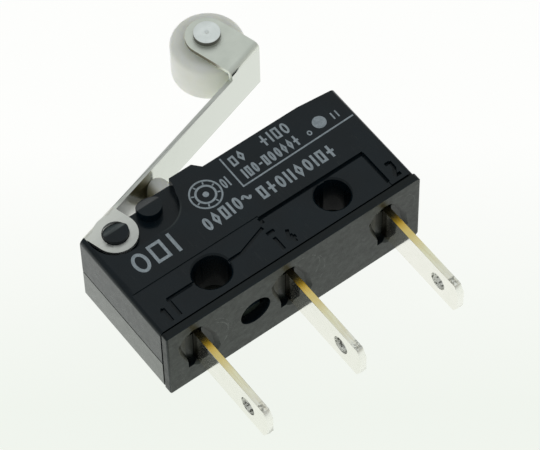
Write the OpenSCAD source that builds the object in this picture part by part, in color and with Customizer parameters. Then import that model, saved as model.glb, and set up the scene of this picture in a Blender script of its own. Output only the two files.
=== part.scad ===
// Snap-action switch with a folded steel roller lever and three blade terminals.
// The case lies on its rear face. X runs along the case, Y from the terminals
// to the lever, Z out of the front face. The origin is the centre of the round
// mounting hole in the plane of the rear face. Millimetres.

/* [Case] */
// Length of the case along its row of mounting holes
case_l = 19.8; // [19.6:0.1:20]
// Thickness of the case from rear face to front face
case_t = 6.4; // [6.3:0.1:6.6]
// Height of the raised shoulder beside the plunger
shoulder_h = 9.7; // [9.6:0.1:9.9]
// Height of the flat part of the case top
top_h = 9.14; // [9.1:0.02:9.3]
// Height of the case top at its lower end
end_h = 8.85; // [8.8:0.05:9.1]
// Height of the case top under the pivot end of the lever
heel_h = 9.32; // [9.26:0.02:9.34]
// Distance of the parting plane from the rear face
parting_z = 2.75; // [2.6:0.05:2.9]
// Height of the terminal base below the case
base_h = 0.7; // [0.6:0.05:0.8]

/* [Mounting holes] */
// Distance between the two mounting holes
hole_pitch = 9.5; // [9.5:0.05:9.6]
// Radius of the mounting holes
hole_r = 1.2; // [1.15:0.05:1.25]
// Distance the slotted hole is lengthened each way
hole_slot = 0.1; // [0.05:0.05:0.15]
// Height of the mounting holes above the underside
hole_y = 2.45; // [2.4:0.05:2.5]

/* [Lever] */
// Angle of the lever strip to the case top at rest
lever_angle = 16.5; // [16:0.05:17]
// Thickness of the lever sheet
lever_t = 0.29; // [0.27:0.01:0.32]
// Distance from the pivot axis to the outer face of the strip
lever_off = 1.56; // [1.54:0.01:1.62]
// Distance from the pivot to the roller axle along the strip
roller_a = 15.42; // [14:0.1:17]
// Distance from the pivot to the roller axle across the strip
roller_n = 4.43; // [4.38:0.01:4.6]
// Radius of the pivot bosses
boss_r = 0.86; // [0.84:0.01:0.87]

/* [Roller] */
// Radius of the roller
roller_r = 2.5; // [2.3:0.05:2.5]
// Width of the roller
roller_w = 3.34; // [3.2:0.02:3.34]
// Gap between the roller and the ear that carries it
roller_gap = 0.27; // [0.15:0.01:0.3]

/* [Terminals] */
// Length of the blades below the case
blade_l = 7.2; // [7:0.1:7.8]
// Width of the blades
blade_w = 2.8; // [2.6:0.1:2.8]
// Thickness of the blades
blade_t = 0.5; // [0.4:0.05:0.5]
// Radius of the hole near the tip of each blade
tab_hole_r = 0.65; // [0.5:0.05:0.7]

/* [Plunger] */
// Half the width of the plunger stem, and the radius of its rounded top
plunger_r = 0.95; // [0.9:0.01:0.97]

/* [Hidden] */
$fn = 48;
e = 0.01;
zm = case_t / 2;                       // middle plane
round_x = 14.75;                       // round mounting hole
slot_x = round_x - hole_pitch;         // slotted mounting hole
pivot = [2.23, 8.57];                  // pivot bosses
spare = [5.05, 8.89];                  // spare bosses
plunger_x = 7.0;
plunger_y = 10.29;                     // axis of the rounded top of the plunger
plunger_z = 0.55;                      // half the straight part of the stem section
recess_d = 0.8;                        // depth of the lever recesses
cav_lo = zm - 1.6;                     // inner chamber between the side walls
cav_hi = zm + 1.6;
cav_top = 8.2;
com_x = 2.5;                           // middle of each blade
open_x = 9.75;
closed_x = 17.5;
knife_x = 2.62;                        // knife edges on the common terminal
arm_y = 5.65;
rocker_y = 7.2;
contact_x = 12.3;
ear_out = 6.05;                        // outer face of the pivot ear
base_l = case_l + 0.12;                // length of the base plate
tab_z = 6.55;                          // outer face of the roller ear
strip_lo = 2.33;                       // edges of the lever strip
strip_hi = 5.7;
groove_w = 0.26;                       // moulded lines on the front face
groove_d = 0.22;
lower_z = case_t - 0.07;               // front face below the step

black = [0.13, 0.15, 0.16];
steel = [0.72, 0.73, 0.70];
brassy = [0.80, 0.72, 0.45];
silver = [0.86, 0.86, 0.85];

// Moves the case frame so that the round mounting hole is at the origin.
module place() translate([-round_x, -hole_y, 0]) children();

// Extrudes a shape drawn in X and Y from z0 to z1.
module slab(z0, z1) translate([0, 0, z0]) linear_extrude(z1 - z0) children();

// ---- case ----

// Outline of the case seen from the front, drawn in by the given inset.
module case_outline(i = 0) polygon([
    [i, base_h], [case_l - i, base_h], [case_l - i, end_h - i],
    [17.0, top_h - i], [9.45, top_h - i], [8.95, shoulder_h - i],
    [4.65 + i, shoulder_h - i], [4.4 + i, heel_h - i], [i, heel_h - i]]);

// Recess that holds a pivot ear of the lever.
module recess_outline() {
    translate(pivot) circle(1.88);
    translate([4.85, 8.74]) circle(2.05);
    translate([0.35, pivot[1]]) square([2, 2]);
    translate([2.23, 6.69]) square([2.62, 3.5]);
    polygon([[4.85, 8.5], [6.88, 8.45], [7.1, 9.0], [7.22, 9.8], [4.85, 9.8]]);
}

// Inner chamber with a well for each terminal.
module chamber_outline() difference() {
    union() {
        translate([1.2, 4.4]) square([17.4, cav_top - 4.4]);
        translate([1.2, base_h - 1]) square([2.15, 5]);
        translate([7.6, base_h - 1]) square([5.7, 5]);
        translate([16.7, base_h - 1]) square([1.9, 5]);
    }
    translate([slot_x, hole_y]) circle(1.85);
    translate([round_x, hole_y]) circle(1.8);
}

// Slotted and round mounting holes.
module hole_outline() {
    translate([round_x, hole_y]) circle(hole_r);
    for (s = [-1, 1]) translate([slot_x + s * hole_slot, hole_y]) circle(hole_r);
    translate([slot_x - hole_slot, hole_y - hole_r]) square([2 * hole_slot, 2 * hole_r]);
}

// Lead-in around the front mouths of the mounting holes.
module hole_mouths() {
    for (x = [slot_x - hole_slot, slot_x + hole_slot, round_x])
        translate([x, hole_y, lower_z - 0.12])
            cylinder(r1 = hole_r, r2 = hole_r + 0.13, h = 0.13);
}

// Stem section of the plunger: two round ends joined by a straight part.
module stem(r, y0, y1) {
    for (s = [-1, 1]) translate([plunger_x, y0, zm + s * plunger_z])
        rotate([-90, 0, 0]) cylinder(r = r, h = y1 - y0);
    translate([plunger_x - r, y0, zm - plunger_z]) cube([2 * r, y1 - y0, 2 * plunger_z]);
}

// Rounds the long edge between an end face and the front or rear face.
module edge_round(x, z, sx, sz, r) translate([x, 0, z]) difference() {
    translate([min(0, -sx * r) - (sx < 0 ? e : 0), -1, min(0, -sz * r) - (sz < 0 ? e : 0)])
        mirror([sx > 0 ? 0 : 0, 0, 0]) cube([r + e, 12, r + e]);
    translate([sx > 0 ? -r : r, -2, sz > 0 ? -r : r]) rotate([-90, 0, 0]) cylinder(r = r, h = 14);
}

// Boss with a flat lower half and a slope towards the case top.
module boss(c, z0, h, slope) translate([c[0], c[1], z0]) difference() {
    cylinder(r = boss_r, h = h);
    translate([-2, 0, h]) rotate([-slope, 0, 0]) cube([4, 3, 2]);
}

// A straight moulded line from p to q.
module line(p, q) translate([p[0], p[1], lower_z - groove_d])
    rotate([0, 0, atan2(q[1] - p[1], q[0] - p[0])])
    translate([0, -groove_w / 2, 0]) cube([norm(q - p), groove_w, 1]);

// Moulded contact diagram with plain terminal numbers.
module diagram() {
    line([4.1, 2.45], [1.78, 2.45]);
    line([1.86, 2.45], [1.86, 1.05]);
    line([6.4, 2.42], [7.5, 2.42]);
    line([7.46, 2.38], [9.72, 3.12]);
    line([9.95, 3.76], [18.19, 3.76]);
    line([18.1, 3.76], [18.1, 1.0]);
    line([9.95, 3.84], [9.95, 3.35]);
    line([9.85, 2.1], [9.85, 1.0]);
    line([9.6, 2.55], [10.2, 2.55]);
    // 1
    line([1.2, 2.1], [1.2, 1.0]);
    line([1.22, 2.1], [1.0, 1.85]);
    // 4
    line([10.85, 2.1], [10.5, 1.4]);
    line([10.45, 1.4], [11.05, 1.4]);
    line([10.8, 1.7], [10.8, 1.0]);
    // 2
    line([18.7, 2.15], [19.1, 2.15]);
    line([19.08, 2.2], [19.08, 1.7]);
    line([19.12, 1.72], [18.72, 1.1]);
    line([18.7, 1.1], [19.18, 1.1]);
}

module front_cover() color(black) place() difference() {
    union() {
        difference() {
            union() {
                slab(parting_z + 0.12, case_t) case_outline();
                slab(parting_z, parting_z + 0.13) case_outline(0.22);
            }
            slab(case_t - recess_d, case_t + 1) recess_outline();
            edge_round(0, case_t, -1, 1, 0.5);
            edge_round(case_l, case_t, 1, 1, 0.35);
            slab(lower_z, case_t + 1) polygon([[-1, -1], [-1, 4.0], [9.95, 4.0], [9.95, 3.8], [18.15, 3.8], [18.15, -1]]);
        }
        boss(pivot, case_t - recess_d - e, 0.74, 33);
        boss(spare, case_t - recess_d - e, 0.76, 33);
    }
    slab(parting_z - 1, cav_hi) chamber_outline();
    slab(parting_z - 1, case_t + 1) hole_outline();
    hole_mouths();
    stem(plunger_r + 0.05, cav_top - 0.5, shoulder_h + 1);
    diagram();
    for (p = [[0.62, 5.6], [19.2, 5.6]]) translate([p[0], p[1], parting_z - 1]) cylinder(r = 0.34, h = 2);
}

module rear_housing() color(black) place() {
    difference() {
        union() {
            difference() {
                slab(0, parting_z) case_outline();
                slab(-1, recess_d) recess_outline();
                edge_round(0, 0, -1, -1, 0.3);
                edge_round(case_l, 0, 1, -1, 0.2);
            }
            mirror([0, 0, 1]) translate([0, 0, -recess_d]) {
                boss(pivot, -e, 0.74, 33);
                boss(spare, -e, 0.76, 33);
            }
        }
        slab(cav_lo, parting_z + 1) chamber_outline();
        slab(-1, parting_z + 1) hole_outline();
        stem(plunger_r + 0.05, cav_top - 0.5, shoulder_h + 1);
    }
    // locating pins that enter the front cover
    for (p = [[0.62, 5.6], [19.2, 5.6]]) translate([p[0], p[1], parting_z - 0.5]) cylinder(r = 0.31, h = 1.4);
}

// Outline of the base plate seen from the front, with rounded lower corners.
module base_outline() {
    top = base_h - 0.14;
    r = 0.12;
    polygon(concat(
        [for (a = [180 : 15 : 270]) [r + r * cos(a), r + r * sin(a)]],
        [for (a = [270 : 15 : 360]) [base_l - r + r * cos(a), r + r * sin(a)]],
        [[base_l, top], [0, top]]));
}

// Outline of the dish around a blade, in X and Z about the middle of the blade.
module dish_outline() polygon([
    [-0.5, 5.7], [-1.2, 5.4], [-1.72, 4.7], [-1.6, 3.85], [-1.22, 2.7], [-0.8, 1.9], [-0.32, 1.4],
    [0.4, 1.15], [1.2, 1.45], [1.5, 2.0], [1.25, 3.6], [0.6, 5.05], [0.1, 5.6]]);

// Base plate with a block for each terminal and a groove under the case.
module terminal_base() color([0.15, 0.17, 0.17]) place() difference() {
    union() {
        difference() {
            slab(0, case_t) base_outline();
            for (z = [0, case_t]) {
                edge_round(0, z, -1, z > 0 ? 1 : -1, 0.15);
                edge_round(base_l, z, 1, z > 0 ? 1 : -1, 0.35);
            }
        }
        translate([0.26, base_h - 0.15, 0.26]) cube([case_l - 0.52, 0.15, case_t - 0.52]);
        for (b = [[1.25, 3.3], [8.6, 10.9], [16.72, 18.55]])
            translate([b[0], base_h - e, cav_lo + 0.05]) cube([b[1] - b[0], 2.6, 3.1]);
    }
    // slots for the blades
    for (x = [com_x, open_x, closed_x])
        translate([x - blade_t / 2 - 0.02, -1, zm - blade_w / 2 - 0.02]) cube([blade_t + 0.04, 5, blade_w + 0.04]);
    // dishes around the roots of the blades, with a deeper notch beside each blade
    for (x = [com_x, open_x, closed_x]) {
        translate([x, 0.25, 3.3]) rotate([90, 0, 0]) linear_extrude(0.27, scale = 1.27) scale(0.8) translate([0, -3.3]) dish_outline();
        translate([x - 1.0, -1, zm - 1.5]) cube([0.77, 1.5, 3.2]);
        translate([x - 0.6, -1, zm + 1.2]) cube([0.85, 1.9, 0.8]);
    }
    // round hole through the plate
    translate([6.77, -1, zm + 0.1]) rotate([-90, 0, 0]) cylinder(r = 1.15, h = base_h + 1.02);
}

// ---- terminals and contacts ----

// Blade with a tapered tip and a hole, drawn with its top end at y1.
module blade(x, y1) difference() {
    translate([x + blade_t / 2, 0, 0]) rotate([0, -90, 0]) linear_extrude(blade_t) polygon([
        [zm - blade_w / 2, y1], [zm - blade_w / 2, -blade_l + 0.38], [zm - blade_w / 2 + 0.65, -blade_l],
        [zm + blade_w / 2 - 0.65, -blade_l], [zm + blade_w / 2, -blade_l + 0.38], [zm + blade_w / 2, y1]]);
    translate([x - 1, -blade_l + 2.0, zm]) rotate([0, 90, 0]) cylinder(r = tab_hole_r, h = 2);
}

module common_terminal() color(brassy) place() difference() {
    blade(com_x, 7.75);
    for (y = [arm_y, rocker_y]) slab(0, case_t) polygon([[knife_x - 0.06, y], [2.9, y - 0.42], [2.9, y + 0.42]]);
}

module normally_open_terminal() color(brassy) place() difference() {
    union() {
        blade(open_x, 4.0);
        translate([open_x - blade_t / 2, 3.75, zm - 1.2]) cube([13.0 - open_x + blade_t / 2, 0.5, 2.4]);
    }
    translate([contact_x, 3, zm]) rotate([-90, 0, 0]) cylinder(r = 0.3, h = 2);
}

module normally_closed_terminal() color(brassy) place() difference() {
    union() {
        blade(closed_x, 7.05);
        translate([11.5, 6.55, zm - 1.2]) cube([closed_x - 11.5 + blade_t / 2, 0.5, 2.4]);
    }
    translate([contact_x, 6, zm]) rotate([-90, 0, 0]) cylinder(r = 0.3, h = 2);
}

module open_contact() color(silver) place() translate([contact_x, 0, zm]) rotate([-90, 0, 0]) {
    translate([0, 0, 3.8]) cylinder(r = 0.29, h = 0.6);
    translate([0, 0, 4.25]) cylinder(r = 0.65, h = 0.3);
}

module closed_contact() color(silver) place() translate([contact_x, 0, zm]) rotate([-90, 0, 0]) {
    translate([0, 0, 6.4]) cylinder(r = 0.29, h = 0.6);
    translate([0, 0, 6.18]) cylinder(r = 0.65, h = 0.37);
}

// ---- snap mechanism ----

// Stepped plunger: rounded top, stem, flange under the case top and a round nose.
module plunger() color([0.90, 0.87, 0.72]) place() {
    stem(plunger_r, 8.1, plunger_y);
    intersection() {
        stem(plunger_r, plunger_y - 0.5, plunger_y + 1);
        translate([plunger_x, plunger_y, zm - 2]) cylinder(r = plunger_r, h = 4);
    }
    translate([plunger_x - 1.2, 7.85, zm - 1.5]) cube([2.4, 0.32, 3]);
    translate([plunger_x, 7.65, zm]) rotate([-90, 0, 0]) cylinder(r = 0.3, h = 0.3);
    translate([plunger_x, 7.65, zm]) sphere(r = 0.3);
}

// Rocker pressed by the plunger; its leg carries one end of the spring.
module rocker() color(steel) place() difference() {
    union() {
        slab(zm - 1.1, zm + 1.1) polygon([[knife_x, rocker_y], [2.95, rocker_y - 0.1],
            [7.9, rocker_y - 0.1], [7.9, rocker_y + 0.1], [2.95, rocker_y + 0.1]]);
        translate([4.45, 5.6, zm - 0.4]) cube([0.2, 1.6, 0.8]);
    }
    translate([4, 5.92, zm]) rotate([0, 90, 0]) cylinder(r = 0.2, h = 1);
}

// Contact arm: a frame with a slot for the spring, and a tongue for the contact.
module contact_arm() color([0.80, 0.60, 0.38]) place() difference() {
    union() {
        slab(zm - 1.0, zm + 1.0) polygon([[knife_x, arm_y], [2.95, arm_y - 0.1], [2.95, arm_y + 0.1]]);
        translate([2.94, arm_y - 0.1, zm - 1.4]) cube([8.0, 0.2, 2.8]);
        translate([10.9, arm_y - 0.1, zm - 0.9]) cube([2.15, 0.2, 1.8]);
    }
    translate([3.5, arm_y - 1, zm - 0.85]) cube([6.8, 2, 1.7]);
    translate([10.7, arm_y - 1, zm]) rotate([-90, 0, 0]) cylinder(r = 0.2, h = 2);
    translate([contact_x, arm_y - 1, zm]) rotate([-90, 0, 0]) cylinder(r = 0.3, h = 2);
}

module moving_contact() color(silver) place() translate([contact_x, 0, zm]) rotate([-90, 0, 0]) {
    translate([0, 0, arm_y - 0.5]) cylinder(r = 0.6, h = 0.4);
    translate([0, 0, arm_y - 0.2]) cylinder(r = 0.29, h = 0.4);
    translate([0, 0, arm_y + 0.1]) cylinder(r = 0.6, h = 0.4);
}

// Coiled tension spring: straight hooks at both ends of an even helix.
spring_turns = 13;
spring_steps = 12;
spring_wire = 0.08;
spring_coil = 0.42;
function spring_path() = concat(
    [[4.28, 5.62, 0], [4.28, 5.84, 0], [4.36, 5.92, 0], [4.9, 5.92, 0]],
    [for (i = [0 : spring_turns * spring_steps])
        let (a = 360 * i / spring_steps, u = i / (spring_turns * spring_steps), r = spring_coil * min(1, 8 * u, 8 * (1 - u)))
        [5.0 + 5.0 * u, 5.92 + r * cos(a), r * sin(a)]],
    [[10.1, 5.92, 0], [10.62, 5.92, 0], [10.7, 5.84, 0], [10.7, 5.4, 0]]);
function unit(v) = v / norm(v);
function ring_at(p, d, r, n) = let (s = unit(cross(d, [0, 0, 1])), t = cross(s, d))
    [for (k = [0 : n - 1]) p + r * (cos(360 * k / n) * s + sin(360 * k / n) * t)];
module wire(path, r, n) {
    m = len(path);
    dirs = [for (i = [0 : m - 1]) unit(path[min(i + 1, m - 1)] - path[max(i - 1, 0)])];
    pts = [for (i = [0 : m - 1]) each ring_at(path[i], dirs[i], r, n)];
    polyhedron(pts, concat(
        [for (k = [1 : n - 2]) [0, k, k + 1]],
        [for (i = [0 : m - 2], k = [0 : n - 1]) each [
            [i * n + k, (i + 1) * n + k, (i + 1) * n + (k + 1) % n],
            [i * n + k, (i + 1) * n + (k + 1) % n, i * n + (k + 1) % n]]],
        [for (k = [1 : n - 2]) [(m - 1) * n, (m - 1) * n + k + 1, (m - 1) * n + k]]));
}
module snap_spring() color(silver) place() translate([0, 0, zm]) wire(spring_path(), spring_wire, 6);

// ---- lever ----

// Lever frame: X along the strip, Y away from the case, Z across the case.
module lever_frame() place() translate([pivot[0], pivot[1], 0]) rotate([0, 0, lever_angle]) children();

// Extrudes a section drawn in Y and Z along the strip from a0 to a1.
module along(a0, a1) translate([a0, 0, 0]) rotate([90, 0, 90]) linear_extrude(a1 - a0) children();

// Quarter ring of the sheet thickness.
module bend_section(r) intersection() {
    difference() { circle(r); circle(r - lever_t); }
    square(r + 1);
}

ear_r = 1.47;
bend_r = 0.36;
tab_bend = 0.45;
lever_in = lever_off - lever_t;
head_z = tab_z - lever_t - roller_gap - roller_w - 0.42;

// Pivot ear with its hole, as seen from the front.
module ear_outline() difference() {
    union() {
        circle(ear_r);
        translate([-ear_r, 0]) square([2 * ear_r, lever_off - bend_r]);
    }
    circle(boss_r + 0.04);
}

// Roller ear, as seen from the front.
module tab_outline() difference() {
    union() {
        translate([roller_a, roller_n]) circle(1.47);
        translate([roller_a - 1.47, lever_in + tab_bend]) square([2.94, roller_n - lever_in - tab_bend]);
    }
    translate([roller_a, roller_n]) circle(0.42);
}

module roller_lever() color(steel) lever_frame() difference() {
    union() {
        // wide heel with two ears folded towards the case
        along(-ear_r, ear_r) {
            translate([lever_in, case_t - ear_out + bend_r]) square([lever_t, 2 * ear_out - case_t - 2 * bend_r]);
            translate([lever_off - bend_r, ear_out - bend_r]) bend_section(bend_r);
            translate([lever_off - bend_r, case_t - ear_out + bend_r]) mirror([0, 1]) bend_section(bend_r);
        }
        slab(ear_out - lever_t, ear_out) ear_outline();
        slab(case_t - ear_out, case_t - ear_out + lever_t) ear_outline();
        // strip
        translate([0, lever_in, strip_lo]) cube([roller_a + 1.47, lever_t, strip_hi - strip_lo]);
        // end of the strip, folded up into the roller ear
        along(roller_a - 1.47, roller_a + 1.47) {
            translate([lever_in, strip_hi - 0.5]) square([lever_t, tab_z - tab_bend - strip_hi + 0.5]);
            translate([lever_in + tab_bend, tab_z - tab_bend]) mirror([1, 0]) bend_section(tab_bend);
        }
        slab(tab_z - lever_t, tab_z) tab_outline();
    }
    // relief beside the fold
    translate([roller_a - 1.56, 0, strip_hi + 0.1]) rotate([-90, 0, 0]) cylinder(r = 0.12, h = 3);
}

module roller() color([0.94, 0.94, 0.90]) lever_frame() translate([roller_a, roller_n, tab_z - lever_t - roller_gap - roller_w])
    difference() {
        union() {
            translate([0, 0, 0.15]) cylinder(r = roller_r, h = roller_w - 0.3, $fn = 96);
            cylinder(r1 = roller_r - 0.15, r2 = roller_r, h = 0.151, $fn = 96);
            translate([0, 0, roller_w - 0.151]) cylinder(r1 = roller_r, r2 = roller_r - 0.15, h = 0.151, $fn = 96);
        }
        translate([0, 0, -1]) cylinder(r = 0.55, h = roller_w + 2);
    }

// Shouldered rivet: wide head behind the roller, shank, upset head on the ear.
module roller_axle() color([0.80, 0.82, 0.84]) lever_frame() translate([roller_a, roller_n, 0]) difference() {
    union() {
        translate([0, 0, head_z]) cylinder(r = 0.95, h = 0.36);
        translate([0, 0, head_z + 0.3]) cylinder(r = 0.5, h = tab_z - lever_t - head_z - 0.31);
        translate([0, 0, 6.0]) cylinder(r = 0.41, h = 0.7);
        translate([0, 0, tab_z]) cylinder(r = 0.91, h = 0.40);
    }
    translate([0, 0, tab_z + 0.34]) cylinder(r1 = 0.02, r2 = 0.2, h = 0.07);
}

front_cover();
rear_housing();
terminal_base();
common_terminal();
normally_open_terminal();
normally_closed_terminal();
open_contact();
closed_contact();
plunger();
rocker();
contact_arm();
moving_contact();
snap_spring();
roller_lever();
roller();
roller_axle();
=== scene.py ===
import math
import random
import bpy
import bmesh
from mathutils import Matrix, Vector


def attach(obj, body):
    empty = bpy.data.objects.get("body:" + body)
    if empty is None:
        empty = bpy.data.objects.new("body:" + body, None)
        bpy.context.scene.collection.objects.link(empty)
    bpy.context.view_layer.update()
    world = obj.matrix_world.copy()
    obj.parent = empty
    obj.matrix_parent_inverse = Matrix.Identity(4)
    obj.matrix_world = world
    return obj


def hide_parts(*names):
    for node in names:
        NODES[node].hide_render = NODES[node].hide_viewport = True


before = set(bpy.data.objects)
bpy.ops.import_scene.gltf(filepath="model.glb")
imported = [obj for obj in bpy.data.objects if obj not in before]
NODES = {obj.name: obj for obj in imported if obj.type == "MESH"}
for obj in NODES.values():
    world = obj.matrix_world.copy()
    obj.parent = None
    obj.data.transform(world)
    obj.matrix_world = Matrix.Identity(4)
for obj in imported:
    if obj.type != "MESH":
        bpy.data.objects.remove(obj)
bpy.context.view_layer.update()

MM = 0.001
random.seed(7)

# Body frame of the case, in millimetres: x from the left end, y from the
# underside, z from the rear face. The row frame is shifted by the round hole.
OX, OY = 14.75, 2.45


def P(x, y, z):
    return Vector(((x - OX) * MM, (y - OY) * MM, z * MM))


PIVOT = (2.23, 8.57)
ANG = math.radians(16.5)


def L(a, n, z):
    """Lever frame at rest: a along the strip, n away from the case."""
    return P(PIVOT[0] + a * math.cos(ANG) - n * math.sin(ANG),
             PIVOT[1] + a * math.sin(ANG) + n * math.cos(ANG), z)


# ---------------------------------------------------------------- materials

class Mat:
    """A small helper around one procedural material. Coordinates are in mm."""

    def __init__(self, name, **sockets):
        self.m = bpy.data.materials.new(name)
        self.m.use_nodes = True
        self.t = self.m.node_tree
        self.bsdf = next(n for n in self.t.nodes if n.type == "BSDF_PRINCIPLED")
        self.set(self.bsdf, sockets)
        tc = self.t.nodes.new("ShaderNodeTexCoord")
        mp = self.t.nodes.new("ShaderNodeMapping")
        mp.inputs["Scale"].default_value = (1000.0, 1000.0, 1000.0)
        mp.inputs["Location"].default_value = (OX, OY, 0.0)
        self.t.links.new(tc.outputs["Object"], mp.inputs["Vector"])
        self.co = mp.outputs["Vector"]       # body frame millimetres
        self.tc = tc

    def set(self, node, sockets):
        for k, v in sockets.items():
            node.inputs[k].default_value = v

    def node(self, kind, out=0, props=None, **inputs):
        n = self.t.nodes.new(kind)
        for k, v in (props or {}).items():
            setattr(n, k, v)
        for k, v in inputs.items():
            k = int(k[1:]) if k[0] == "_" and k[1:].isdigit() else k.replace("_", " ")
            self.put(n.inputs[k], v)
        return n.outputs[out]

    def put(self, socket, v):
        if isinstance(v, bpy.types.NodeSocket):
            self.t.links.new(v, socket)
        else:
            socket.default_value = v

    # -- building blocks
    def noise(self, scale, detail=3.0, rough=0.55, co=None, distortion=0.0):
        return self.node("ShaderNodeTexNoise", "Fac" if False else 0,
                         Vector=co or self.co, Scale=scale, Detail=detail,
                         Roughness=rough, Distortion=distortion)

    def voronoi(self, scale, co=None, feature="F1", out="Distance"):
        n = self.t.nodes.new("ShaderNodeTexVoronoi")
        n.feature = feature
        n.inputs["Scale"].default_value = scale
        self.put(n.inputs["Vector"], co or self.co)
        return n.outputs[out]

    def math(self, op, a, b=0.0, c=0.0, clamp=False):
        n = self.t.nodes.new("ShaderNodeMath")
        n.operation = op
        n.use_clamp = clamp
        self.put(n.inputs[0], a)
        self.put(n.inputs[1], b)
        if len(n.inputs) > 2:
            self.put(n.inputs[2], c)
        return n.outputs[0]

    def ramp(self, fac, lo, hi, a=0.0, b=1.0, smooth=False):
        """a at lo, b at hi, clamped."""
        n = self.t.nodes.new("ShaderNodeMapRange")
        if smooth:
            n.interpolation_type = "SMOOTHSTEP"
        self.put(n.inputs["Value"], fac)
        n.inputs["From Min"].default_value = lo
        n.inputs["From Max"].default_value = hi
        n.inputs["To Min"].default_value = a
        n.inputs["To Max"].default_value = b
        return n.outputs["Result"]

    def mix(self, fac, a, b):
        n = self.t.nodes.new("ShaderNodeMix")
        n.data_type = "RGBA"
        self.put(n.inputs[0], fac)
        self.put(n.inputs[6], a if isinstance(a, bpy.types.NodeSocket) else (*a, 1.0))
        self.put(n.inputs[7], b if isinstance(b, bpy.types.NodeSocket) else (*b, 1.0))
        return n.outputs[2]

    def xyz(self, co=None):
        n = self.t.nodes.new("ShaderNodeSeparateXYZ")
        self.put(n.inputs[0], co or self.co)
        return n.outputs

    def scaled(self, sx, sy, sz, rot=(0, 0, 0), co=None):
        n = self.t.nodes.new("ShaderNodeMapping")
        n.inputs["Scale"].default_value = (sx, sy, sz)
        n.inputs["Rotation"].default_value = rot
        self.put(n.inputs["Vector"], co or self.co)
        return n.outputs["Vector"]

    def normal(self):
        n = self.t.nodes.new("ShaderNodeNewGeometry")
        v = self.t.nodes.new("ShaderNodeTexCoord")
        return self.xyz(v.outputs["Normal"])

    def edge(self, radius_mm=0.12, lo=0.02, hi=0.35):
        """1 on convex and concave edges, 0 on open faces."""
        b = self.t.nodes.new("ShaderNodeBevel")
        b.samples = 6
        b.inputs["Radius"].default_value = radius_mm * MM
        g = self.t.nodes.new("ShaderNodeNewGeometry")
        d = self.t.nodes.new("ShaderNodeVectorMath")
        d.operation = "DOT_PRODUCT"
        self.t.links.new(b.outputs["Normal"], d.inputs[0])
        self.t.links.new(g.outputs["Normal"], d.inputs[1])
        return self.ramp(self.math("SUBTRACT", 1.0, d.outputs["Value"]), lo, hi)

    def bump(self, height, strength, distance_mm, normal=None):
        n = self.t.nodes.new("ShaderNodeBump")
        n.inputs["Strength"].default_value = strength
        n.inputs["Distance"].default_value = distance_mm * MM
        self.put(n.inputs["Height"], height)
        if normal is not None:
            self.put(n.inputs["Normal"], normal)
        return n.outputs["Normal"]

    def out(self, color=None, rough=None, normal=None, **other):
        if color is not None:
            self.put(self.bsdf.inputs["Base Color"], color)
        if rough is not None:
            self.put(self.bsdf.inputs["Roughness"], rough)
        if normal is not None:
            self.put(self.bsdf.inputs["Normal"], normal)
        for k, v in other.items():
            self.put(self.bsdf.inputs[k.replace("_", " ")], v)
        return self.m


def s2l(*rgb):
    """sRGB 0-255 to linear."""
    out = []
    for c in rgb:
        c = c / 255.0
        out.append(c / 12.92 if c <= 0.04045 else ((c + 0.055) / 1.055) ** 2.4)
    return tuple(out)


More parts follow.
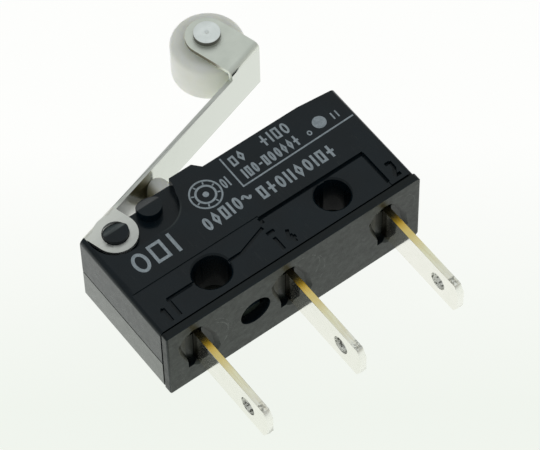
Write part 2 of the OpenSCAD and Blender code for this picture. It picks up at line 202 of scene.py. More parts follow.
def case_plastic(name, tint=(0.0012, 0.0052, 0.0086), spec=0.14, rough=0.30, seed=0.0, mottle=0.0,
                 coat=0.3, worn_tone=(0.020, 0.024, 0.025), dish=False, painted_recess_light=False):
    """Matt moulded plastic: fine grain, cloudy gloss, handling scratches, paler worn edges."""
    m = Mat(name, **{"IOR": 1.5, "Specular IOR Level": spec, "Coat Weight": coat, "Coat Roughness": 0.12})
    m.bsdf.inputs["Specular Tint"].default_value = (0.94, 1.0, 0.96, 1.0)
    co = m.scaled(1, 1, 1, (seed, seed * 0.7, seed * 1.3))
    broad = m.noise(0.35, 2.0, 0.5, co)
    cloud = m.noise(1.6, 4.0, 0.6, co)
    grain = m.noise(11.0, 3.0, 0.65, co)
    fine = m.voronoi(16.0, co)
    base = m.mix(m.ramp(broad, 0.35, 0.65), tint, tuple(c * 1.45 for c in tint))
    base = m.mix(m.ramp(grain, 0.45, 0.75, 0.0, 0.20), base, (0.012, 0.016, 0.018))
    if mottle:
        # grey blotches and rubbed streaks along the moulding
        blot = m.noise(2.3, 5.0, 0.68, co)
        streak = m.noise(1.0, 4.0, 0.65, m.scaled(0.7, 3.2, 3.2, co=co))
        amount = m.math("ADD", m.ramp(blot, 0.38, 0.66, 0.0, 0.6), m.ramp(streak, 0.44, 0.68, 0.0, 0.5))
        nx, ny, nz = m.normal()
        under = m.ramp(m.math("MULTIPLY", ny, -1.0), 0.5, 0.9)
        base = m.mix(under, base, (0.0010, 0.0030, 0.0015))
        base = m.mix(m.math("MULTIPLY", m.math("MULTIPLY", amount, under), mottle), base, (0.040, 0.049, 0.043))
        # broken light scratches that curve round the blades
        for cx, cz, rad, wid in ((2.9, 3.3, 1.75, 0.035), (3.2, 3.9, 1.45, 0.022), (10.3, 4.3, 1.55, 0.03),
                                 (9.9, 3.6, 2.35, 0.02), (17.9, 4.2, 1.6, 0.02), (5.4, 3.9, 0.9, 0.018)):
            bx, by, bz = m.xyz(m.scaled(1, 1, 1, co=m.co))
            dx = m.math("SUBTRACT", bx, cx)
            dz = m.math("SUBTRACT", bz, cz)
            dist = m.math("SQRT", m.math("ADD", m.math("MULTIPLY", dx, dx), m.math("MULTIPLY", dz, dz)))
            arc = m.ramp(m.math("ABSOLUTE", m.math("SUBTRACT", dist, rad)), wid * 0.4, wid * 1.6, 1.0, 0.0)
            arc = m.math("MULTIPLY", arc, m.ramp(m.math("ADD", dx, m.math("MULTIPLY", dz, 0.6)), 0.2, 0.9))
            arc = m.math("MULTIPLY", arc, m.ramp(m.noise(2.2, 3.0, 0.7), 0.47, 0.56))
            base = m.mix(m.math("MULTIPLY", m.math("MULTIPLY", arc, under), 0.55), base, (0.16, 0.18, 0.17))
    edge = m.edge(0.10, 0.03, 0.5)
    worn = m.math("MULTIPLY", edge, m.ramp(cloud, 0.40, 0.62, 0.10, 0.5))
    base = m.mix(worn, base, worn_tone)
    if painted_recess_light:
        # painted highlight: the sloping halves of each boss are painted paler
        bx, by, bz = m.xyz()
        bn = m.normal()
        for cx, cy, most in ((PIVOT[0], PIVOT[1], 0.85), (5.05, 8.89, 0.10)):
            dx, dy = m.math("SUBTRACT", bx, cx), m.math("SUBTRACT", by, cy)
            dist = m.math("SQRT", m.math("ADD", m.math("MULTIPLY", dx, dx), m.math("MULTIPLY", dy, dy)))
            on = m.math("MULTIPLY", m.ramp(dist, 0.72, 0.84, 1.0, 0.0), m.ramp(bn[1], 0.25, 0.50))
            on = m.math("MULTIPLY", on, m.ramp(bn[2], 0.5, 0.7))
            base = m.mix(m.math("MULTIPLY", on, most), base, (0.085, 0.105, 0.108))
        # painted highlight: a paler line along the lower rim of the recess
        rx, ry = m.math("SUBTRACT", bx, 4.85), m.math("SUBTRACT", by, 8.74)
        dist = m.math("SQRT", m.math("ADD", m.math("MULTIPLY", rx, rx), m.math("MULTIPLY", ry, ry)))
        rim = m.ramp(m.math("ABSOLUTE", m.math("SUBTRACT", dist, 2.10)), 0.02, 0.09, 1.0, 0.0)
        rim = m.math("MULTIPLY", rim, m.ramp(by, 8.0, 7.2))
        rim = m.math("MULTIPLY", rim, m.ramp(rx, -0.6, 0.6))
        base = m.mix(m.math("MULTIPLY", rim, 0.8), base, (0.036, 0.044, 0.045))
    # faint handling scratches
    sc = m.noise(1.0, 2.0, 0.5, m.scaled(9.0, 0.9, 2.0, (0.2, 0.1, 0.6), co))
    scratch = m.ramp(sc, 0.665, 0.71)
    base = m.mix(m.math("MULTIPLY", scratch, 0.35), base, (0.026, 0.030, 0.031))
    if dish:
        # painted shade: slightly darker tone in the sunk places around the blades
        x, y, z = m.xyz()
        base = m.mix(m.ramp(y, 0.03, 0.22, 0.0, 0.6), base, (0.002, 0.003, 0.003))
    r = m.ramp(cloud, 0.3, 0.7, rough - 0.05, rough + 0.06)
    r = m.math("ADD", r, m.math("MULTIPLY", scratch, -0.06))
    h = m.math("ADD", m.math("MULTIPLY", grain, 0.7), m.math("MULTIPLY", fine, 0.5))
    if mottle:
        h = m.math("ADD", h, m.math("MULTIPLY", blot, 0.9))
    n = m.bump(h, 0.22, 0.02)
    return m.out(base, r, n)


def metal(name, color, rough, aniso=None, speck=0.15, dark=0.75, grain_dir=(1, 1, 1),
          grain=0.10, edge_color=None, scale=9.0, bump=0.12):
    m = Mat(name, **{"Metallic": 1.0})
    cloud = m.noise(0.9, 3.0, 0.55)
    fine = m.noise(scale, 3.0, 0.65)
    lines = m.noise(1.0, 3.0, 0.6, m.scaled(*grain_dir))
    base = m.mix(m.ramp(cloud, 0.3, 0.7), color, tuple(c * 0.93 for c in color))
    base = m.mix(m.ramp(fine, 0.52, 0.72, 0.0, speck), base, tuple(c * dark for c in color))
    if edge_color:
        base = m.mix(m.math("MULTIPLY", m.edge(0.06, 0.03, 0.4), 0.6), base, edge_color)
    r = m.math("ADD", m.ramp(cloud, 0.3, 0.7, rough - 0.03, rough + 0.04),
               m.ramp(lines, 0.35, 0.65, -grain * 0.5, grain * 0.5))
    h = m.math("ADD", m.math("MULTIPLY", fine, 0.6), m.math("MULTIPLY", lines, 0.6))
    return m.out(base, r, m.bump(h, bump, 0.01))


def assign(obj, mat):
    obj.data.materials.clear()
    obj.data.materials.append(mat)


def soften(obj, width_mm, segments=2, angle=35, weld=True):
    """Weld and round the real edges of a CAD node; its own mesh isn't changed."""
    if weld:
        w = obj.modifiers.new("weld", "WELD")
        w.merge_threshold = 0.0006 * MM
    d = obj.modifiers.new("flat", "DECIMATE")
    d.decimate_type = "DISSOLVE"
    d.angle_limit = math.radians(0.6)
    b = obj.modifiers.new("edges", "BEVEL")
    b.width = width_mm * MM
    b.segments = segments
    b.limit_method = "ANGLE"
    b.angle_limit = math.radians(angle)
    b.use_clamp_overlap = True
    b.harden_normals = False
    b.miter_outer = "MITER_ARC"
    for p in obj.data.polygons:
        p.use_smooth = True
    wn = obj.modifiers.new("normals", "WEIGHTED_NORMAL")
    wn.keep_sharp = True


# ------------------------------------------------------------ CAD finishes

MAT_CASE = case_plastic("case_black", seed=0.0, painted_recess_light=True)
MAT_REAR = case_plastic("case_black_rear", seed=1.7, spec=0.45, coat=0.48, tint=(0.018, 0.024, 0.019))
MAT_BASE = case_plastic("base_black", spec=0.26, rough=0.34, seed=2.9, mottle=0.85, coat=0.0,
                        worn_tone=(0.035, 0.040, 0.038), dish=True)


def lever_steel():
    """Stainless strip: satin on the outer faces, smoother inside the bend; painted reflections on the inner face
    and painted shade on the cut edges.
    """
    m = Mat("lever_steel")
    x, y, z = m.xyz()
    nx, ny, nz = m.normal()
    # a runs along the strip from the pivot
    dx, dy = m.math("SUBTRACT", x, PIVOT[0]), m.math("SUBTRACT", y, PIVOT[1])
    a = m.math("ADD", m.math("MULTIPLY", dx, math.cos(ANG)), m.math("MULTIPLY", dy, math.sin(ANG)))
    cloud = m.noise(0.9, 3.0, 0.55)
    fine = m.noise(12.0, 3.0, 0.65)
    lines = m.noise(1.0, 4.0, 0.6, m.scaled(0.5, 9.0, 9.0, (0, 0, -ANG)))
    inner = m.ramp(m.math("MULTIPLY", ny, -1.0), 0.80, 0.93)
    n = m.math("SUBTRACT", m.math("MULTIPLY", dy, math.cos(ANG)), m.math("MULTIPLY", dx, math.sin(ANG)))
    base = m.mix(m.ramp(cloud, 0.3, 0.7), (0.85, 0.885, 0.795), (0.81, 0.85, 0.765))
    heel = m.mix(m.ramp(n, -1.3, 1.1), (0.66, 0.67, 0.63), (0.85, 0.86, 0.80))
    base = m.mix(m.ramp(a, 1.4, 2.2, 1.0, 0.0), base, heel)
    # painted shade: darker on the sheared long edge of the strip, streaked with shear lines, and on the cut edge
    # of the roller ear, darkest away from the fold
    cut = m.math("MULTIPLY", m.ramp(a, 1.7, 2.3), m.ramp(a, 13.6, 14.0, 1.0, 0.0))
    cut = m.math("MULTIPLY", cut, m.ramp(nz, 0.4, 0.8))
    base = m.mix(m.math("MULTIPLY", cut, m.ramp(lines, 0.3, 0.7, 0.75, 1.0)), base, (0.60, 0.61, 0.57))
    rim = m.math("MULTIPLY", m.ramp(n, 1.9, 2.7), m.ramp(m.math("ABSOLUTE", nz), 0.35, 0.7, 1.0, 0.0))
    rim = m.math("MULTIPLY", rim, m.ramp(a, 13.5, 13.7))
    base = m.mix(rim, base, (0.26, 0.24, 0.18))
    base = m.mix(m.ramp(fine, 0.52, 0.72, 0.0, 0.10), base, (0.66, 0.66, 0.62))
    base = m.mix(m.math("MULTIPLY", inner, m.math("SUBTRACT", 1.0, rim)), base, (0.685, 0.72, 0.66))
    # skewed line across the strip: towards the pivot a painted pale reflection of the floor, past it a painted
    # brown reflection of the shaded plunger
    skew = m.math("SUBTRACT", a, m.math("MULTIPLY", m.math("SUBTRACT", 5.39, z), 0.65))
    wobble = m.math("MULTIPLY", m.math("SUBTRACT", m.noise(2.5, 2.0, 0.5), 0.5), 0.25)
    skew = m.math("ADD", skew, wobble)
    painted_plunger_reflection = m.math("MULTIPLY", m.ramp(skew, 3.12, 3.30, smooth=True), m.ramp(a, 4.5, 5.6, 1.0, 0.0, smooth=True))
    painted_plunger_reflection = m.math("MULTIPLY", painted_plunger_reflection, inner)
    painted_floor_reflection = m.math("MULTIPLY", m.ramp(skew, 3.05, 3.25, 1.0, 0.0, smooth=True), inner)
    base = m.mix(painted_floor_reflection, base, (0.90, 0.91, 0.88))
    base = m.mix(painted_plunger_reflection, base, (0.40, 0.38, 0.27))
    base = m.mix(m.math("MULTIPLY", m.edge(0.05, 0.03, 0.4), 0.35), base, (0.90, 0.90, 0.87))
    r = m.math("ADD", m.ramp(cloud, 0.3, 0.7, 0.44, 0.52), m.ramp(lines, 0.35, 0.65, -0.04, 0.04))
    r = m.math("SUBTRACT", r, m.math("MULTIPLY", inner, 0.33))
    r = m.math("ADD", r, m.math("MULTIPLY", painted_floor_reflection, 0.06))
    metal_part = m.math("SUBTRACT", 0.95, m.math("MULTIPLY", painted_floor_reflection, 0.35))
    h = m.math("ADD", m.math("MULTIPLY", fine, 0.5), m.math("MULTIPLY", lines, 0.6))
    return m.out(base, r, m.bump(h, 0.10, 0.008), Metallic=metal_part)


MAT_STEEL = lever_steel()


def rivet_steel():
    """Bright head faces; painted shade darkens the shank and the sides of the heads."""
    m = Mat("rivet_steel", Metallic=1.0)
    nx, ny, nz = m.normal()
    cloud = m.noise(1.4, 3.0, 0.6)
    fine = m.noise(10.0, 3.0, 0.65)
    unshaded_head_faces = m.ramp(m.math("ABSOLUTE", nz), 0.35, 0.75)
    base = m.mix(m.ramp(cloud, 0.3, 0.7), (0.95, 0.99, 0.96), (0.88, 0.93, 0.90))
    base = m.mix(m.ramp(fine, 0.55, 0.75, 0.0, 0.25), base, (0.60, 0.64, 0.62))
    # painted shade: the shank and the sides of the heads are painted dark
    base = m.mix(m.math("SUBTRACT", 1.0, unshaded_head_faces), base, (0.16, 0.155, 0.14))
    r = m.math("ADD", m.ramp(cloud, 0.3, 0.7, 0.32, 0.42), m.ramp(fine, 0.3, 0.7, -0.03, 0.05))
    return m.out(base, r, m.bump(fine, 0.15, 0.01))


MAT_RIVET = rivet_steel()
MAT_SILVER = metal("contact_silver", (0.90, 0.89, 0.86), 0.30, grain_dir=(3, 3, 3))
MAT_SPRING = metal("spring_steel", (0.62, 0.62, 0.60), 0.30, grain_dir=(2, 2, 2))
MAT_COPPER = metal("arm_copper", (0.80, 0.52, 0.34), 0.32, grain_dir=(1, 1, 8))


def brass():
    """Plated brass blades: bright plate on the wide faces, bare brass on the sheared edges."""
    m = Mat("plated_brass", **{"Metallic": 0.95})
    x, y, z = m.xyz()
    nx, ny, nz = m.normal()
    cloud = m.noise(1.3, 4.0, 0.6)
    fine = m.noise(14.0, 3.0, 0.65)
    lines = m.noise(1.0, 3.0, 0.6, m.scaled(12.0, 0.7, 12.0))
    wide = m.mix(m.ramp(cloud, 0.3, 0.7), (0.95, 0.93, 0.88), (0.91, 0.90, 0.84))
    wide = m.mix(m.ramp(y, -1.2, 0.0, 0.0, 0.35), wide, (0.66, 0.58, 0.34))
    # painted shade: the wide faces turn near black where they run into the base
    wide = m.mix(m.ramp(y, -0.08, 0.10), wide, (0.10, 0.085, 0.05))
    # sheared edge: dark grey under the base, a painted shade, amber below it, then pale plate to the tip
    bare = m.mix(m.ramp(y, -6.4, -3.6), (0.99, 0.99, 0.90), (0.97, 0.94, 0.66))
    bare = m.mix(m.ramp(y, -3.6, -2.0), bare, (0.86, 0.68, 0.24))
    bare = m.mix(m.ramp(y, -1.8, -0.9), bare, (0.82, 0.50, 0.04))
    bare = m.mix(m.ramp(y, -0.60, -0.20), bare, (0.24, 0.21, 0.11))
    bare = m.mix(m.ramp(lines, 0.42, 0.62, 0.0, 0.25), bare, (0.74, 0.58, 0.26))
    # cut faces of the tip
    bare = m.mix(m.ramp(y, -6.75, -6.95), bare, (0.96, 0.95, 0.91))
    burr = m.math("MULTIPLY", m.ramp(m.math("ABSOLUTE", m.math("ADD", y, 6.45)), 0.22, 0.42, 1.0, 0.0),
                  m.ramp(m.noise(5.5, 4.0, 0.7), 0.46, 0.56))
    bare = m.mix(m.math("MULTIPLY", burr, 0.75), bare, (0.20, 0.20, 0.17))
    side = m.ramp(m.math("ABSOLUTE", nx), 0.55, 0.85)
    base = m.mix(side, bare, wide)
    # cut wall of the tip hole
    hole = m.math("MULTIPLY", m.ramp(m.math("ABSOLUTE", m.math("ADD", y, 5.2)), 0.66, 0.72, 1.0, 0.0),
                  m.ramp(m.math("ABSOLUTE", m.math("SUBTRACT", z, 3.2)), 0.68, 0.74, 1.0, 0.0))
    hole = m.math("MULTIPLY", hole, m.math("SUBTRACT", 1.0, side))
    pits = m.ramp(m.noise(3.4, 4.0, 0.75), 0.50, 0.58)
    base = m.mix(hole, base, m.mix(pits, (0.95, 0.95, 0.90), (0.16, 0.16, 0.14)))
    spots = m.ramp(m.noise(3.1, 5.0, 0.7), 0.66, 0.72)
    base = m.mix(m.math("MULTIPLY", spots, 0.30), base, (0.44, 0.37, 0.20))
    r = m.math("ADD", m.ramp(cloud, 0.3, 0.7, 0.24, 0.32), m.math("MULTIPLY", side, -0.17))
    r = m.math("ADD", r, m.math("MULTIPLY", hole, 0.3))
    h = m.math("ADD", m.math("MULTIPLY", fine, 0.4), m.math("MULTIPLY", lines, 0.8))
    return m.out(base, r, m.bump(m.math("MULTIPLY", h, m.ramp(side, 0.0, 1.0, 1.0, 0.18)), 0.10, 0.008))


MAT_BRASS = brass()


def roller_plastic():
    m = Mat("roller_white", **{"IOR": 1.48, "Specular IOR Level": 0.45,
                               "Subsurface Weight": 0.6, "Subsurface Scale": 0.0008})
    m.bsdf.inputs["Subsurface Radius"].default_value = (1.0, 0.96, 0.80)
    cloud = m.noise(0.8, 3.0, 0.5)
    fine = m.noise(9.0, 3.0, 0.6)
    base = m.mix(m.ramp(cloud, 0.3, 0.7), (0.93, 0.94, 0.88), (0.88, 0.89, 0.82))
    base = m.mix(m.ramp(fine, 0.55, 0.75, 0.0, 0.12), base, (0.70, 0.69, 0.60))
    r = m.ramp(cloud, 0.3, 0.7, 0.34, 0.44)
    h = m.math("ADD", m.math("MULTIPLY", fine, 0.5), m.noise(3.0, 2.0, 0.5))
    return m.out(base, r, m.bump(h, 0.10, 0.02))


def plunger_plastic():
    """Cream moulding with painted shade, a darker olive tone, on the side under the strip."""
    m = Mat("plunger_cream", **{"IOR": 1.5, "Specular IOR Level": 0.45,
                                "Subsurface Weight": 0.4, "Subsurface Scale": 0.0006})
    m.bsdf.inputs["Subsurface Radius"].default_value = (1.0, 0.95, 0.75)
    nx, ny, nz = m.normal()
    cloud = m.noise(1.2, 3.0, 0.5)
    base = m.mix(m.ramp(cloud, 0.3, 0.7), (0.96, 0.95, 0.89), (0.92, 0.91, 0.84))
    # painted shade: dark olive on the faces turned towards -x, under the strip
    painted_side_shade = m.math("MULTIPLY", m.ramp(nx, -0.10, -0.80, smooth=True), m.ramp(cloud, 0.35, 0.65, 0.8, 1.0))
    base = m.mix(painted_side_shade, base, (0.30, 0.28, 0.17))
    r = m.ramp(cloud, 0.3, 0.7, 0.38, 0.48)
    return m.out(base, r, m.bump(m.noise(9.0, 3.0, 0.6), 0.10, 0.02))


MAT_ROLLER = roller_plastic()
MAT_PLUNGER = plunger_plastic()

for name, mat, width, seg in (
        ("front_cover", MAT_CASE, 0.05, 2), ("rear_housing", MAT_REAR, 0.05, 2),
        ("terminal_base", MAT_BASE, 0.05, 2),
        ("common_terminal", MAT_BRASS, 0.035, 2), ("normally_open_terminal", MAT_BRASS, 0.035, 2),
        ("normally_closed_terminal", MAT_BRASS, 0.035, 2),
        ("open_contact", MAT_SILVER, 0.05, 2), ("closed_contact", MAT_SILVER, 0.05, 2),
        ("moving_contact", MAT_SILVER, 0.05, 2), ("plunger", MAT_PLUNGER, 0.03, 2),
        ("rocker", MAT_STEEL, 0.02, 1), ("contact_arm", MAT_COPPER, 0.02, 1),
        ("snap_spring", MAT_SPRING, 0.0, 0), ("roller_lever", MAT_STEEL, 0.03, 2),
        ("roller", MAT_ROLLER, 0.16, 4), ("roller_axle", MAT_RIVET, 0.06, 3)):
    o = NODES[name]
    assign(o, mat)
    if seg:
        soften(o, width, seg)

# ----------------------------------------------------------------- roller

# Moulded roller turned from its section: a bored hub, shallow dished faces and
# widely rounded rims, inside the outline of the CAD roller.
R_OUT, R_BORE, R_Z0, R_Z1 = 2.5, 0.55, 2.65, 5.99


def roller_section():
    half, rim, dish = [], 0.46, 0.07
    half += [(R_BORE, R_Z1 - 0.10), (R_BORE + 0.03, R_Z1 - 0.03), (R_BORE + 0.10, R_Z1)]
    half += [(0.98, R_Z1), (1.06, R_Z1 - 0.012), (1.16, R_Z1 - dish), (1.55, R_Z1 - dish), (1.78, R_Z1 - 0.03), (1.92, R_Z1)]
    for k in range(0, 9):
        t = math.radians(90 - 90 * k / 8)
        half.append((R_OUT - rim + rim * math.cos(t), R_Z1 - rim + rim * math.sin(t)))
    zm = (R_Z0 + R_Z1) / 2
    back = [(r_, 2 * zm - z_) for r_, z_ in reversed(half)]
    return half + [(R_OUT, zm + 0.6), (R_OUT, zm - 0.6)] + back


def turned(name, section, a, n, steps=96):
    bm = bmesh.new()
    rings = []
    for r_, z_ in section:
        rings.append([bm.verts.new(L(a + r_ * math.cos(2 * math.pi * k / steps),
                                     n + r_ * math.sin(2 * math.pi * k / steps), z_)) for k in range(steps)])
    for i in range(len(rings)):
        lo_, hi_ = rings[i], rings[(i + 1) % len(rings)]
        for k in range(steps):
            j = (k + 1) % steps
            bm.faces.new((lo_[k], lo_[j], hi_[j], hi_[k]))
    bmesh.ops.recalc_face_normals(bm, faces=bm.faces)
    me = bpy.data.meshes.new(name)
    bm.to_mesh(me)
    bm.free()
    for p in me.polygons:
        p.use_smooth = True
    o = bpy.data.objects.new(name, me)
    bpy.context.scene.collection.objects.link(o)
    return o


roller = turned("roller_turned", roller_section(), 15.42, 4.43)
wn = roller.modifiers.new("normals", "WEIGHTED_NORMAL")
wn.keep_sharp = True
roller.data.materials.append(MAT_ROLLER)
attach(roller, "roller")
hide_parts("roller")

# ------------------------------------------------------------ print

def ink():
    """Pad print: a thin pale layer that lies unevenly on the grained plastic."""
    m = Mat("print_ink", Roughness=0.5, **{"Specular IOR Level": 0.3})
    thin = m.noise(3.5, 4.0, 0.65)
    dots = m.noise(17.0, 3.0, 0.6)
    base = m.mix(m.ramp(thin, 0.35, 0.65), (0.31, 0.36, 0.39), (0.45, 0.51, 0.55))
    base = m.mix(m.ramp(dots, 0.48, 0.70, 0.0, 0.6), base, (0.11, 0.135, 0.15))
    base = m.mix(m.math("MULTIPLY", m.edge(0.05, 0.03, 0.4), 0.4), base, (0.16, 0.20, 0.24))
    r = m.ramp(dots, 0.3, 0.7, 0.42, 0.58)
    return m.out(base, r, m.bump(dots, 0.2, 0.006))


INK_Z0, INK_Z1 = 6.4, 6.412


class Print:
    """Flat strokes on the front face, gathered into one mesh. Millimetres."""

    def __init__(self):
        self.bm = bmesh.new()

    def plate(self, outline):
        lo = [self.bm.verts.new(P(x, y, INK_Z0 - 0.004)) for x, y in outline]
        hi = [self.bm.verts.new(P(x, y, INK_Z1)) for x, y in outline]
        n = len(outline)
        self.bm.faces.new(hi)
        self.bm.faces.new(lo[::-1])
        for i in range(n):
            self.bm.faces.new((lo[i], lo[(i + 1) % n], hi[(i + 1) % n], hi[i]))

    def stroke(self, pts, w, closed=False):
        """Constant-width band along a polyline with mitred corners and flat ends."""
        pts = [Vector((x, y)) for x, y in pts]
        n = len(pts)
        left, right = [], []
        for i, p in enumerate(pts):
            a = pts[i - 1] if (i or closed) else None
            b = pts[(i + 1) % n] if (i < n - 1 or closed) else None
            da = (p - a).normalized() if a is not None else None
            db = (b - p).normalized() if b is not None else None
            if da is None or db is None:
                d = db if da is None else da
                s = Vector((-d.y, d.x)) * (w / 2)
                end = p + d * (0 if da is None else 0)
                left.append(end + s)
                right.append(end - s)
            else:
                t = (da + db).normalized()
                s = Vector((-t.y, t.x))
                k = max(0.45, s.dot(Vector((-da.y, da.x))))
                left.append(p + s * (w / 2 / k))
                right.append(p - s * (w / 2 / k))
        m = n if closed else n - 1
        verts = {}
        for side, line in (("l", left), ("r", right)):
            for i, p in enumerate(line):
                verts[side, i, 0] = self.bm.verts.new(P(p.x, p.y, INK_Z0 - 0.004))
                verts[side, i, 1] = self.bm.verts.new(P(p.x, p.y, INK_Z1))
        for i in range(m):
            j = (i + 1) % n
            self.bm.faces.new((verts["l", i, 1], verts["r", i, 1], verts["r", j, 1], verts["l", j, 1]))
            self.bm.faces.new((verts["l", j, 0], verts["r", j, 0], verts["r", i, 0], verts["l", i, 0]))
            self.bm.faces.new((verts["l", i, 0], verts["l", i, 1], verts["l", j, 1], verts["l", j, 0]))
            self.bm.faces.new((verts["r", j, 0], verts["r", j, 1], verts["r", i, 1], verts["r", i, 0]))
        if not closed:
            for i, rev in ((0, False), (n - 1, True)):
                f = (verts["l", i, 0], verts["r", i, 0], verts["r", i, 1], verts["l", i, 1])
                self.bm.faces.new(f[::-1] if rev else f)

    def mark(self, kind, x, y, w, h, t, slope=0.0):
        """A plain shape in the cell with its lower left corner at x, y."""
        def at(u, v):
            return (x + u * w, y + v * h + u * w * slope)
        i = t / 2
        a, b = i / w, i / h
        if kind == "ring":
            n = 28
            pts = [at(0.5 + (0.5 - a) * math.cos(2 * math.pi * k / n),
                      0.5 + (0.5 - b) * math.sin(2 * math.pi * k / n)) for k in range(n)]
            self.stroke(pts, t, True)
        elif kind == "square":
            self.stroke([at(a, b), at(1 - a, b), at(1 - a, 1 - b), at(a, 1 - b)], t, True)
        elif kind == "triangle":
            self.stroke([at(1.2 * a, b), at(1 - 1.2 * a, b), at(0.5, 1 - 1.6 * b)], t, True)
        elif kind == "diamond":
            self.stroke([at(0.5, b), at(1 - a, 0.5), at(0.5, 1 - b), at(a, 0.5)], t, True)
        elif kind == "bar":
            self.stroke([at(0.5, 0), at(0.5, 1)], t)
        elif kind == "dash":
            self.stroke([at(0, 0.5), at(1, 0.5)], t)
        elif kind == "plus":
            self.stroke([at(0, 0.5), at(1, 0.5)], t)
            self.stroke([at(0.5, 0), at(0.5, 0.5 - b)], t)
            self.stroke([at(0.5, 0.5 + b), at(0.5, 1)], t)
        elif kind == "corner":
            self.stroke([at(a, 1), at(a, b), at(1, b)], t)
        elif kind == "chevron":
            self.stroke([at(0.1, 0), at(0.5, 1 - b), at(0.9, 0)], t)
        elif kind == "steps":
            self.stroke([at(0, b), at(0.5, b), at(0.5, 1 - b), at(1, 1 - b)], t)
        elif kind == "wave":
            self.stroke([at(k / 10, 0.5 + 0.18 * math.sin(2 * math.pi * k / 10)) for k in range(11)], t)
        elif kind == "disc":
            n = 28
            self.plate([at(0.5 + 0.5 * math.cos(2 * math.pi * k / n),
                           0.5 + 0.5 * math.sin(2 * math.pi * k / n)) for k in range(n)])

    def row(self, kinds, x, y, x_end, y_end, h, t, gap=0.30):
        """Shapes side by side from x, y to x_end, all h high."""
        widths = {"bar": 0.28, "dash": 0.55, "wave": 0.95, "ring": 0.8, "disc": 0.3, "space": 0.45}
        total = sum(widths.get(k, 0.8) for k in kinds) + gap * (len(kinds) - 1)
        unit = (x_end - x) / total
        slope = (y_end - y) / (x_end - x)
        u = x
        for k in kinds:
            w = widths.get(k, 0.8) * unit
            if k != "space":
                self.mark(k, u, y + (u - x) * slope, w, h if k != "disc" else w, t, slope)
            u += w + gap * unit

    def done(self, name, mat):
        bmesh.ops.recalc_face_normals(self.bm, faces=self.bm.faces)
        me = bpy.data.meshes.new(name)
        self.bm.to_mesh(me)
        self.bm.free()
        o = bpy.data.objects.new(name, me)
        bpy.context.scene.collection.objects.link(o)
        me.materials.append(mat)
        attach(o, "case")
        return o


MAT_INK = ink()

pr = Print()
pr.mark("ring", 1.54, 4.82, 1.10, 1.54, 0.23)
pr.mark("square", 2.95, 4.86, 1.07, 1.50, 0.22)
pr.mark("bar", 4.42, 4.80, 0.42, 1.58, 0.24)
pr.done("print_size_marks", MAT_INK)

pr = Print()
pr.row(["ring", "diamond", "square", "bar", "ring", "wave"], 6.86, 4.86, 10.55, 5.05, 1.02, 0.18)
pr.row(["square", "plus", "ring", "bar", "bar", "diamond", "ring", "bar", "square", "plus"],
       11.05, 4.72, 16.85, 4.62, 1.0, 0.18)
pr.done("print_long_row", MAT_INK)

pr = Print()
pr.stroke([(10.65, 8.93), (10.62, 6.32), (19.50, 6.47)], 0.11)
pr.done("print_rule", MAT_INK)

pr = Print()
pr.row(["square", "diamond"], 11.02, 7.86, 12.10, 7.95, 0.78, 0.145)
pr.row(["plus", "bar", "square", "ring"], 13.50, 7.92, 15.60, 7.86, 0.90, 0.145)
pr.row(["bar", "square", "ring", "dash", "square", "ring", "ring", "diamond", "diamond", "plus"],
       11.18, 6.62, 15.55, 6.70, 0.84, 0.145)
pr.row(["ring", "bar"], 9.58, 6.84, 10.12, 6.86, 0.82, 0.11)
pr.done("print_small_rows", MAT_INK)

# a plain target where the larger mark stood, and a disc with two bars on the right
pr = Print()
for r_, t_ in ((1.06, 0.12), (0.66, 0.15)):
    pr.stroke([(8.35 + r_ * math.cos(2 * math.pi * k / 48), 7.28 + r_ * math.sin(2 * math.pi * k / 48))
               for k in range(48)], t_, True)
pr.mark("disc", 8.14, 7.07, 0.42, 0.42, 0.1)
for k in range(8):
    c_, s_ = math.cos(math.radians(45 * k + 22.5)), math.sin(math.radians(45 * k + 22.5))
    pr.stroke([(8.35 + 0.76 * c_, 7.28 + 0.76 * s_), (8.35 + 0.96 * c_, 7.28 + 0.96 * s_)], 0.10)
pr.mark("disc", 16.95, 6.86, 0.96, 0.96, 0.1)
pr.mark("ring", 16.25, 6.84, 0.34, 0.40, 0.09)
pr.mark("bar", 18.25, 6.92, 0.30, 0.56, 0.10)
pr.mark("bar", 18.60, 6.92, 0.30, 0.56, 0.10)
pr.done("print_round_marks", MAT_INK)

# ------------------------------------------------------------------- stage

# The part lies on a pale, evenly lit table: the surface glows, a little less
# and slightly greener towards the near side, and much less where the case
# covers it, a painted shadow of the case.
m = Mat("floor_pale", Roughness=0.7, **{"Specular IOR Level": 0.0})
tx, ty, tz = m.xyz()
t = m.math("ADD", m.math("MULTIPLY", tx, 0.6014), m.math("MULTIPLY", ty, 0.7988))
glow = m.mix(m.ramp(t, -1.0, 19.0), (0.845, 0.880, 0.825), (0.955, 0.958, 0.945))
# painted shadow: the glow is cut down under the footprint of the case
painted_case_shadow = m.ramp(tx, 0.0, 1.0, smooth=True)
for axis, lo_, hi_, a_, b_ in ((tx, 18.9, 19.8, 1.0, 0.0), (ty, 0.0, 1.0, 0.0, 1.0), (ty, 8.2, 9.2, 1.0, 0.0)):
    painted_case_shadow = m.math("MULTIPLY", painted_case_shadow, m.ramp(axis, lo_, hi_, a_, b_, smooth=True))
glow = m.mix(m.math("MULTIPLY", painted_case_shadow, 0.86), glow, (0.0, 0.0, 0.0))
fx, fy = m.math("SUBTRACT", tx, 10.0), m.math("SUBTRACT", ty, 5.0)
far = m.math("SQRT", m.math("ADD", m.math("MULTIPLY", fx, fx), m.math("MULTIPLY", fy, fy)))
glow = m.mix(m.ramp(far, 60.0, 120.0, 0.0, 0.40, smooth=True), glow, (0.0, 0.0, 0.0))
m.put(m.bsdf.inputs["Base Color"], (0.060, 0.062, 0.058, 1.0))
m.put(m.bsdf.inputs["Emission Color"], glow)
m.bsdf.inputs["Emission Strength"].default_value = 1.0
bm = bmesh.new()
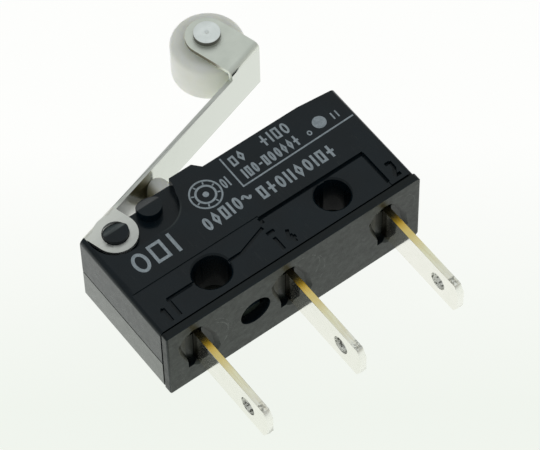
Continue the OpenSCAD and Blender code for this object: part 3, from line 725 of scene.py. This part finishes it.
bmesh.ops.create_grid(bm, x_segments=8, y_segments=8, size=0.6)
me = bpy.data.meshes.new("floor")
bm.to_mesh(me)
bm.free()
floor = bpy.data.objects.new("floor", me)
bpy.context.scene.collection.objects.link(floor)
floor.location = (0, 0, -0.00002)
floor.data.materials.append(m.m)

# Studio surroundings: an even light tent, a little brighter up at the back right.
world = bpy.data.worlds.new("studio")
bpy.context.scene.world = world
world.use_nodes = True
wt = world.node_tree
bg = next(n for n in wt.nodes if n.type == "BACKGROUND")


def wnode(kind, props=None, **vals):
    n = wt.nodes.new(kind)
    for k, v in (props or {}).items():
        setattr(n, k, v)
    for k, v in vals.items():
        k = int(k[1:]) if k[1:].isdigit() else k.replace("_", " ")
        if isinstance(v, bpy.types.NodeSocket):
            wt.links.new(v, n.inputs[k])
        else:
            n.inputs[k].default_value = v
    return n


direction = wnode("ShaderNodeTexCoord").outputs["Generated"]
sep = wnode("ShaderNodeSeparateXYZ", _0=direction)
cr = wnode("ShaderNodeValToRGB", _0=sep.outputs[2])
el = cr.color_ramp.elements
el[0].position, el[0].color = 0.0, (0.42, 0.42, 0.40, 1)
el[1].position, el[1].color = 1.0, (0.50, 0.52, 0.53, 1)
for pos, c in ((0.35, (0.45, 0.455, 0.445)), (0.70, (0.47, 0.49, 0.495))):
    e = el.new(pos)
    e.color = (*c, 1)
total = cr.outputs["Color"]
for d, inner, outer, power, tone in (
        ((0.32, 0.446, 0.836), 8.0, 32.0, 0.22, (0.97, 1.0, 1.0)),):
    v = Vector(d).normalized()
    dot = wnode("ShaderNodeVectorMath", {"operation": "DOT_PRODUCT"}, _0=direction, _1=v)
    box = wnode("ShaderNodeMapRange", {"interpolation_type": "SMOOTHSTEP"}, Value=dot.outputs["Value"],
                From_Min=math.cos(math.radians(outer)), From_Max=math.cos(math.radians(inner)),
                To_Min=0.0, To_Max=power)
    add = wnode("ShaderNodeMix", {"data_type": "RGBA", "blend_type": "ADD"}, _0=1.0)
    wt.links.new(total, add.inputs[6])
    tint = wnode("ShaderNodeVectorMath", {"operation": "SCALE"}, _0=tone)
    wt.links.new(box.outputs["Result"], tint.inputs["Scale"])
    wt.links.new(tint.outputs["Vector"], add.inputs[7])
    total = add.outputs[2]
wt.links.new(total, bg.inputs["Color"])
bg.inputs["Strength"].default_value = 1.0

# ------------------------------------------------------------------ camera

cam_data = bpy.data.cameras.new("camera")
cam_data.lens = 220.22
cam_data.sensor_width = 36.0
cam_data.sensor_fit = "HORIZONTAL"
cam_data.clip_start, cam_data.clip_end = 0.01, 5.0
cam = bpy.data.objects.new("camera", cam_data)
bpy.context.scene.collection.objects.link(cam)
ax = Vector((0.79885, -0.60135, -0.01492))
az = Vector((-0.32016, -0.44605, 0.83578))
ay = az.cross(ax)
cam.matrix_world = Matrix((
    (ax.x, ay.x, az.x, -0.071035),
    (ax.y, ay.y, az.y, -0.092093),
    (ax.z, ay.z, az.z, 0.179907),
    (0, 0, 0, 1)))
bpy.context.scene.camera = cam

vs = bpy.context.scene.view_settings
vs.view_transform = "Standard"
vs.look = "None"
vs.exposure = 0.0
vs.gamma = 1.0
